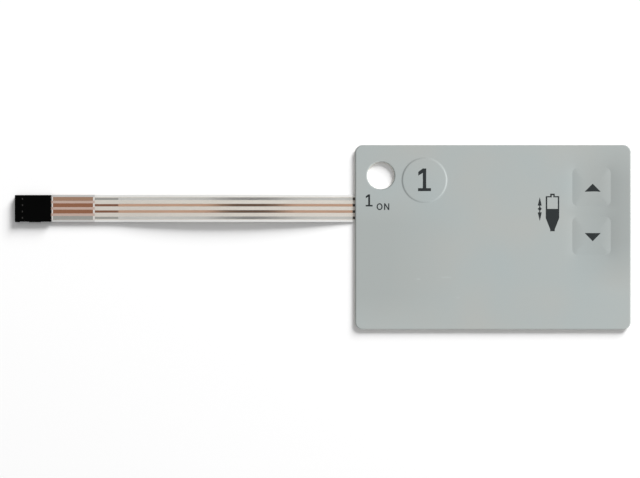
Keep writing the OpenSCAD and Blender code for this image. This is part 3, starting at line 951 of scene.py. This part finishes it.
class Tail:
    """Where the tail runs and what lies across it, in millimetres."""

    def __init__(self, sizes):
        low, high = node_box("tail_film")
        plug_low, plug_high = node_box("connector_housing")
        self.sizes = sizes
        self.edge = high[0]
        self.middle = (low[1] + high[1]) / 2
        self.lines = [((len(WAYS) - 1) / 2 - i) * sizes.pitch for i in range(len(WAYS))]
        self.start = node_box("circuit_film")[0][2]
        self.entry = (plug_high[2] - plug_low[2] - sizes.film) / 2
        self.foil_top = sizes.film + sizes.foil
        self.path = self.curve()
        self.tree = sweep_tree()

    def x(self, s):
        """Place on the X axis at a distance from the panel's edge."""
        return self.edge - s

    def level(self, s):
        """Height of the film's underside along the route, with the corners of the route eased."""
        ease, reach, samples = 2.0, 8, 65
        offsets = np.linspace(-reach, reach, samples)
        weights = np.exp(-0.5 * (offsets / ease) ** 2)
        at = s[:, None] + offsets[None, :]
        climb = (self.entry - self.start) * np.clip(at / self.sizes.cover_to, 0, 1)
        bow = np.interp(at, *zip(*ROUTE))
        rise = ((climb + bow) * weights).sum(axis=1) / weights.sum()
        return self.start + rise - rise[0] * np.exp(-s / ease)

    def points(self, step=STEP):
        """Points of the path, in metres."""
        s = np.linspace(0, self.sizes.whole, round(self.sizes.whole / step) + 1)
        return [(self.x(a) * MM, self.middle * MM, z * MM) for a, z in zip(s, self.level(s))]

    def curve(self):
        """The route as a curve, for the sweeps."""
        data = bpy.data.curves.new("tail path", "CURVE")
        data.dimensions = "3D"
        spline = data.splines.new("POLY")
        points = self.points()
        spline.points.add(len(points) - 1)
        for point, co in zip(spline.points, points):
            point.co = (*co, 1)
        return shown("tail path", data)

    def swept(self, loop, start, stop, material, step=STEP):
        """Mesh of a section along a stretch of the route."""
        return grown(self.tree, section_object(loop), {
            "Path": self.path, "Start": start * MM, "End": stop * MM, "Step": step * MM,
            "Material": material,
        })

    def strip(self, y, width, start, stop, metal, step=STEP):
        """Mesh of a strip of foil along a stretch of the route."""
        loop = band(y - width / 2, y + width / 2, self.sizes.film, self.foil_top)
        return self.swept(loop, start, stop, metal, step)


def band(left, right, low, high):
    """Rectangular section, from one side of the tail to the other."""
    return [(left, low), (right, low), (right, high), (left, high)]


def section_object(loop):
    """A section as a loop of edges, turned as the sweep expects it."""
    mesh = bpy.data.meshes.new("section")
    mesh.from_pydata([(x * MM, -z * MM, 0) for x, z in loop], loop_edges(len(loop)), [])
    return shown("section", mesh)


def ridged(mesh, ridges, stop):
    """Raises low ridges across the upper side of a strip, each with its place, height and width."""
    for v in mesh.vertices:
        at = v.co.x / MM
        for x, height, width in ridges:
            t = (at - x) / (width / 2)
            if abs(t) < 1 and v.normal.z > 0 and at > stop:
                v.co.z += height * MM * (1 - t * t) ** 2
    return mesh


def panel_part(node, x):
    """The part of a conductor that lies in the panel, closed where the tail goes on."""
    bm = solid_copy(node)
    bmesh.ops.bisect_plane(
        bm, geom=bm.verts[:] + bm.edges[:] + bm.faces[:],
        plane_co=(x * MM, 0, 0), plane_no=(1, 0, 0), clear_inner=True,
    )
    bmesh.ops.holes_fill(bm, edges=[e for e in bm.edges if e.is_boundary], sides=0)
    return as_mesh(bm, node)


def tail_piece(name, meshes, material, slot, node):
    """One piece of the tail, in place of its solid."""
    mesh = joined(name, meshes)
    soft_shaded(mesh)
    return finish_piece(shown(name, mesh, material), slot, node)


def tail_base(tail):
    """The clear film, which is narrower in the connector."""
    sizes, clear = tail.sizes, base_material(tail)
    half, tongue = sizes.width / 2, sizes.tongue / 2
    return tail_piece("tail_base", [
        tail.swept(band(-half, half, 0, sizes.film), 0, sizes.visible, clear),
        tail.swept(band(-tongue, tongue, 0, sizes.film), sizes.visible, ROUTE_END, clear),
    ], clear, "film", "tail_film")


def tail_cover(tail):
    """The coverlay, with a groove over each conductor."""
    sizes = tail.sizes
    glossy = film_material("clear coverlay", sizes.cover_tint, alpha=0.008, roughness=0.18)[0]
    half, groove = sizes.width / 2, sizes.line / 2 + sizes.relief
    low, high = sizes.film + sizes.glue, tail.foil_top + sizes.glue
    top = tail.foil_top + sizes.cover
    loop = [(-half, low)]
    for y in reversed(tail.lines):
        left, right = y - groove, y + groove
        loop += [(left, low), (left, high), (right, high), (right, low)]
    loop += [(half, low), (half, top), (-half, top)]
    meshes = [tail.swept(loop, sizes.cover_from, sizes.cover_to, glossy)]
    return tail_piece("tail_cover", meshes, glossy, "coverlay", "tail_coverlay")


def tail_backing(tail):
    """The stiffener under the pads."""
    sizes = tail.sizes
    backing = film_material("stiffener film", sizes.stiffener_tint, alpha=0.9, roughness=0.4)[0]
    loop = band(-sizes.width / 2, sizes.width / 2, -sizes.stiffener, -sizes.glue)
    meshes = [tail.swept(loop, sizes.pads_from, sizes.visible, backing)]
    return tail_piece("tail_backing", meshes, backing, "stiffener", "tail_stiffener")


def tail_metals(tail):
    """The metal of each conductor."""
    sizes = tail.sizes
    tin, copper = (sizes.tin, sizes.bare_tin), (sizes.copper, sizes.bare_copper)
    metals = {
        "round": foil_material("foil, tin and copper", tail, *tin, sizes.worn_copper, TIN_ROUGHNESS),
        "common": foil_material("foil, copper", tail, *copper, sizes.pad_copper, COPPER_ROUGHNESS),
        "down": foil_material("foil, tin", tail, *tin, sizes.bare_tin, TIN_ROUGHNESS),
    }
    metals["up"] = metals["common"]
    return metals


def tail_foils(tail):
    """The four conductors, from their switches to their pads."""
    sizes, metals = tail.sizes, tail_metals(tail)
    # The fold where a pad starts is a third as high and half as wide as the one at the connector
    ridges = [
        (tail.x(sizes.pads_from + FOLD_REACH), sizes.ridge / 3, sizes.ridge_width / 2),
        (tail.x(sizes.visible), sizes.ridge, sizes.ridge_width),
    ]
    stop = tail.x(sizes.visible - FOLD_GAP)
    made = []
    for way, y in zip(WAYS, tail.lines):
        node, metal = "conductor_" + way, metals[way]
        pad = tail.strip(y, sizes.pad, sizes.pads_from, ROUTE_END, metal, FINE_STEP)
        made.append(tail_piece("foil_" + way, [
            tail.strip(y, sizes.covered_line, 0, sizes.cover_to, metal),
            tail.strip(y, sizes.line, sizes.cover_to, sizes.pads_from, metal),
            ridged(pad, ridges, stop),
            panel_part(node, tail.edge),
        ], metal, "tin" if way in TINNED_WAYS else "copper", node))
    return made


# Operators


class KEYPAD_OT_stage(bpy.types.Operator):
    """Make the camera, the lamps, the room and the floor"""

    bl_idname = "keypad.stage"
    bl_label = "Stage"

    def execute(self, context):
        studio = context.scene.keypad_studio
        context.scene.view_settings.view_transform = "Standard"
        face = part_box("graphic_overlay")[1].z
        data = bpy.data.cameras.new("camera")
        data.sensor_width = SENSOR_WIDTH
        data.lens = data.sensor_width * studio.distance / studio.view_width
        data.clip_start, data.clip_end = NEAREST, FARTHEST
        camera = shown("camera", data)
        camera.location = (*studio.aim, face + studio.distance)
        context.scene.camera = camera
        floor = self.floor(studio)
        self.lamp("key lamp", studio.key, KEY_LAMP, floor, "EXCLUDE")
        self.lamp("floor lamp", studio.floor_key, FLOOR_LAMP, floor, "INCLUDE")
        context.scene.world = self.room(studio)
        return {"FINISHED"}

    def lamp(self, name, level, placing, floor, state):
        """A square lamp that gives a share of the light, to the floor alone or to all else."""
        azimuth, height, spread = placing
        a, e = math.radians(azimuth), math.radians(height)
        back = Vector((math.cos(a) * math.cos(e), math.sin(a) * math.cos(e), math.sin(e)))
        data = bpy.data.lights.new(name, "AREA")
        data.size = spread * LAMP_DISTANCE
        data.energy = level * math.pi**2 * LAMP_DISTANCE**2 / math.sin(e)
        lit = bpy.data.collections.new(name + " floor")
        lit.objects.link(floor)
        lit.collection_objects[0].light_linking.link_state = state
        made = shown(name, data)
        made.light_linking.receiver_collection = lit
        made.location = back * LAMP_DISTANCE + Vector((*studio_middle(), 0))
        made.rotation_mode = "QUATERNION"
        made.rotation_quaternion = back.to_track_quat("Z", "Y")

    def room(self, studio):
        """Room light, brighter from above, with a dark place right over the object."""
        world = bpy.data.worlds.new("room")
        world.use_nodes = True
        tree = world.node_tree
        way = add(tree, "ShaderNodeTexCoord").outputs["Generated"]
        up = add(tree, "ShaderNodeSeparateXYZ", {0: way}).outputs["Z"]
        ceiling = ranged(tree, up, studio.wall, studio.sky, WALL_TOP, CEILING_FROM, "SMOOTHSTEP")
        tilt, core, end = (math.radians(a) for a in (DARK_TILT, DARK_CORE, DARK_END))
        near = add(tree, "ShaderNodeVectorMath", {
            0: way, 1: (-math.sin(tilt), 0, math.cos(tilt)),
        }, operation="DOT_PRODUCT").outputs["Value"]
        dark = ranged(tree, near, 1.0, studio.overhead, math.cos(end), math.cos(core), "SMOOTHSTEP")
        light = tree.nodes["Background"].inputs
        tree.links.new(maths(tree, "MULTIPLY", ceiling, dark), light["Strength"])
        light["Color"].default_value = (1, 1, 1, 1)
        return world

    def floor(self, studio):
        """Pale floor that keeps the shadow."""
        pale = surface("pale floor", studio.floor, roughness=0.9, Specular_IOR_Level=0.0)[0]
        corners = band(-FLOOR_HALF, FLOOR_HALF, -FLOOR_HALF, FLOOR_HALF)
        mesh = bpy.data.meshes.new("floor")
        mesh.from_pydata([(*corner, 0) for corner in corners], [], [(0, 1, 2, 3)])
        floor = shown("floor", mesh, pale)
        return floor


class KEYPAD_OT_connector(bpy.types.Operator):
    """Make the moulded housing, and give the contacts their metal"""

    bl_idname = "keypad.connector"
    bl_label = "Connector"

    def execute(self, context):
        sizes = context.scene.keypad_connector
        plastic = plain_material(
            "black plastic", sizes.plastic, roughness=0.5, grain_size=0.25, by=0.2,
            Specular_IOR_Level=0.03,
        )
        bm = solid_copy("connector_housing")
        flat = math.radians(FLAT_ANGLE)
        bmesh.ops.dissolve_limit(bm, angle_limit=flat, verts=bm.verts, edges=bm.edges)
        mesh = as_mesh(bm, "housing")
        housing = shown("housing", mesh, plastic)
        rounded = housing.modifiers.new("edges", "BEVEL")
        rounded.width = sizes.edge
        rounded.segments = 2
        rounded.limit_method = "ANGLE"
        rounded.angle_limit = math.radians(MOULD_ANGLE)
        rounded.harden_normals = True
        soft_shaded(mesh, MOULD_ANGLE)
        finish_piece(housing, "housing", "connector_housing")
        for name in CONTACTS:
            dress(name, contact_material(name, sizes))
        return {"FINISHED"}


class KEYPAD_OT_tail(bpy.types.Operator):
    """Make the tail: film, foil, coverlay and stiffener along one route"""

    bl_idname = "keypad.tail"
    bl_label = "Tail"

    def execute(self, context):
        sizes = context.scene.keypad_tail
        tail = Tail(in_mm(sizes))
        base = tail_base(tail)
        lid = tail_cover(tail)
        back = tail_backing(tail)
        foils = tail_foils(tail)
        dropped(tail.path)
        return {"FINISHED"}


class KEYPAD_OT_overlay(bpy.types.Operator):
    """Make the printed film with its embossed keys"""

    bl_idname = "keypad.overlay"
    bl_label = "Overlay"

    def execute(self, context):
        panel = context.scene.keypad_panel
        mesh = overlay_mesh(Face(panel, context.scene.keypad_keys))
        overlay = shown("overlay", mesh, face_material(panel))
        finish_piece(overlay, "overlay", "graphic_overlay")
        return {"FINISHED"}


class KEYPAD_OT_signs(bpy.types.Operator):
    """Print the signs on the overlay"""

    bl_idname = "keypad.signs"
    bl_label = "Signs"

    def execute(self, context):
        sizes = context.scene.keypad_signs
        ink = plain_material(
            "printed ink", sizes.ink, roughness=0.55, grain_size=0.12, by=0.05, relief=0.003,
            Specular_IOR_Level=0.2,
        )
        tree = drape_tree()
        for name, loops in SIGNS.items():
            flat = shown(name + " flat", sign_mesh(name + " flat", loops))
            mesh = grown(tree, flat, {
                "Surface": bpy.data.objects["overlay"], "Lift": sizes.lift, "Depth": sizes.depth,
                "Material": ink,
            })
            mesh.name = name
            soft_shaded(mesh)
            finish_piece(shown(name, mesh, ink), None)
        return {"FINISHED"}


class KEYPAD_OT_layers(bpy.types.Operator):
    """Give the inner layers of the laminate their materials"""

    bl_idname = "keypad.layers"
    bl_label = "Layers"

    def execute(self, context):
        tints = context.scene.keypad_layers
        # Node, then its material's name, colour, roughness, grain size, change of shade and relief
        layers = (
            ("overlay_adhesive", "clear adhesive", tints.adhesive, 0.3, 0.4),
            ("dome_spacer", "spacer film", tints.spacer, 0.45, 0.2),
            ("circuit_film", "circuit film", tints.circuit, 0.35, 0.3),
            ("rear_adhesive", "rear adhesive", tints.rear, 0.5, 0.5),
            ("release_liner", "liner paper", tints.liner, 0.7, 0.3, 0.06, 0.01),
        )
        for node, *finish in layers:
            dress(node, plain_material(*finish))
        steel = plain_material(
            "spring steel", tints.steel, roughness=0.28, grain_size=0.08, by=0.05, relief=0.002,
            Metallic=1.0,
        )
        for name in DOMES:
            dress(name, steel)
        return {"FINISHED"}


class KEYPAD_PT_panel(bpy.types.Panel):
    """Lists the keypad's pieces and their sizes"""

    bl_label = "Membrane keypad"
    bl_space_type = "VIEW_3D"
    bl_region_type = "UI"
    bl_category = "Keypad"

    def draw(self, context):
        for operator in OPERATORS:
            self.layout.operator(operator.bl_idname)
        for name, group in GROUPS.items():
            box = self.layout.box()
            box.label(text=name.removeprefix("keypad_").capitalize())
            for prop in group.__annotations__:
                box.prop(getattr(context.scene, name), prop)


GROUPS = {
    "keypad_panel": PanelProps,
    "keypad_keys": KeyProps,
    "keypad_signs": SignProps,
    "keypad_tail": TailProps,
    "keypad_connector": ConnectorProps,
    "keypad_layers": LayerProps,
    "keypad_studio": StudioProps,
}
OPERATORS = (
    KEYPAD_OT_stage,
    KEYPAD_OT_connector,
    KEYPAD_OT_tail,
    KEYPAD_OT_overlay,
    KEYPAD_OT_signs,
    KEYPAD_OT_layers,
)
CLASSES = (*GROUPS.values(), *OPERATORS, KEYPAD_PT_panel)


def register():
    for kind in CLASSES:
        bpy.utils.register_class(kind)
    for name, group in GROUPS.items():
        setattr(bpy.types.Scene, name, PointerProperty(type=group))


def unregister():
    for name in GROUPS:
        delattr(bpy.types.Scene, name)
    for kind in reversed(CLASSES):
        bpy.utils.unregister_class(kind)


def main():
    register()
    bpy.ops.keypad.stage()
    bpy.ops.keypad.connector()
    bpy.ops.keypad.tail()
    bpy.ops.keypad.overlay()
    bpy.ops.keypad.signs()
    bpy.ops.keypad.layers()


if __name__ == "__main__":
    main()
